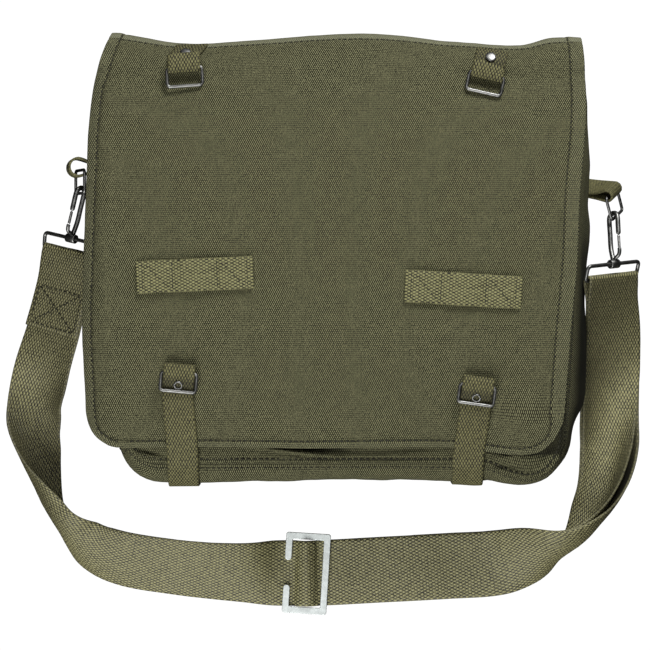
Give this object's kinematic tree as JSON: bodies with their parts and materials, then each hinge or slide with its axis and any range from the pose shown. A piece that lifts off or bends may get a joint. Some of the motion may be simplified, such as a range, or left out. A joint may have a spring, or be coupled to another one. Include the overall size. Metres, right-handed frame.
{
  "type": "canvas shoulder bag",
  "caption": "Canvas shoulder bag lying on its back, with a flap over the front, webbing closing straps, wire rings and a wide shoulder strap on snap hooks laid round it.",
  "frame": {"origin": "on the back panel's outer face, which lies on the ground, under the middle of the laid out bag and strap", "axes": "+X to the right of the front as it is looked at, +Y towards the mouth of the bag, +Z out of the front"},
  "size_m": [0.4924, 0.4502, 0.093],
  "materials": {
    "canvas": "matt olive cotton canvas",
    "webbing": "matt olive woven webbing",
    "dark_nickel": "polished dark nickel plate",
    "bright_metal": "satin"
  },
  "bodies": {
    "bag": {"back_panel": "canvas", "front_panel": "canvas", "gusset": "canvas", "flap": "canvas", "closing_strap_left": "webbing", "closing_strap_right": "webbing", "closing_ring_left": "dark_nickel", "closing_ring_right": "dark_nickel", "closing_stud_left": "dark_nickel", "closing_stud_right": "dark_nickel", "keeper_left": "webbing", "keeper_right": "webbing", "top_tab_left": "webbing", "top_tab_right": "webbing", "top_rivet_left": "dark_nickel", "top_rivet_right": "dark_nickel", "shoulder_strap": "webbing", "side_loop_left": "webbing", "side_loop_right": "webbing", "side_link_left": "dark_nickel", "side_link_right": "dark_nickel", "strap_frame_left": "dark_nickel", "strap_frame_right": "dark_nickel", "hook_left": "dark_nickel", "hook_right": "dark_nickel", "slider": "bright_metal"},
    "ring_left": {"top_ring_left": "dark_nickel"},
    "ring_right": {"top_ring_right": "dark_nickel"},
    "gate_left": {"hook_gate_left": "bright_metal"},
    "gate_right": {"hook_gate_right": "bright_metal"}
  },
  "joints": [
    {"name": "ring_left_swing", "type": "hinge", "parent": "bag", "child": "ring_left", "pos_m": [-0.107, 0.19575, 0.06522], "axis": [-0.9976, -0.0697, 0.0034], "range_deg": [0, 150]},
    {"name": "ring_right_swing", "type": "hinge", "parent": "bag", "child": "ring_right", "pos_m": [0.123, 0.1897, 0.06586], "axis": [-0.9744, 0.2248, -0.0091], "range_deg": [0, 150]},
    {"name": "gate_left_press", "type": "hinge", "parent": "bag", "child": "gate_left", "pos_m": [-0.19598, 0.07763, 0.04559], "axis": [-0.7637, 0.2978, -0.5728], "range_deg": [0, 20], "stiffness_Nm_per_rad": 0.02},
    {"name": "gate_right_press", "type": "hinge", "parent": "bag", "child": "gate_right", "pos_m": [0.22433, 0.05945, 0.05437], "axis": [-0.7905, 0.1534, 0.5929], "range_deg": [0, 20], "stiffness_Nm_per_rad": 0.02}
  ]
}
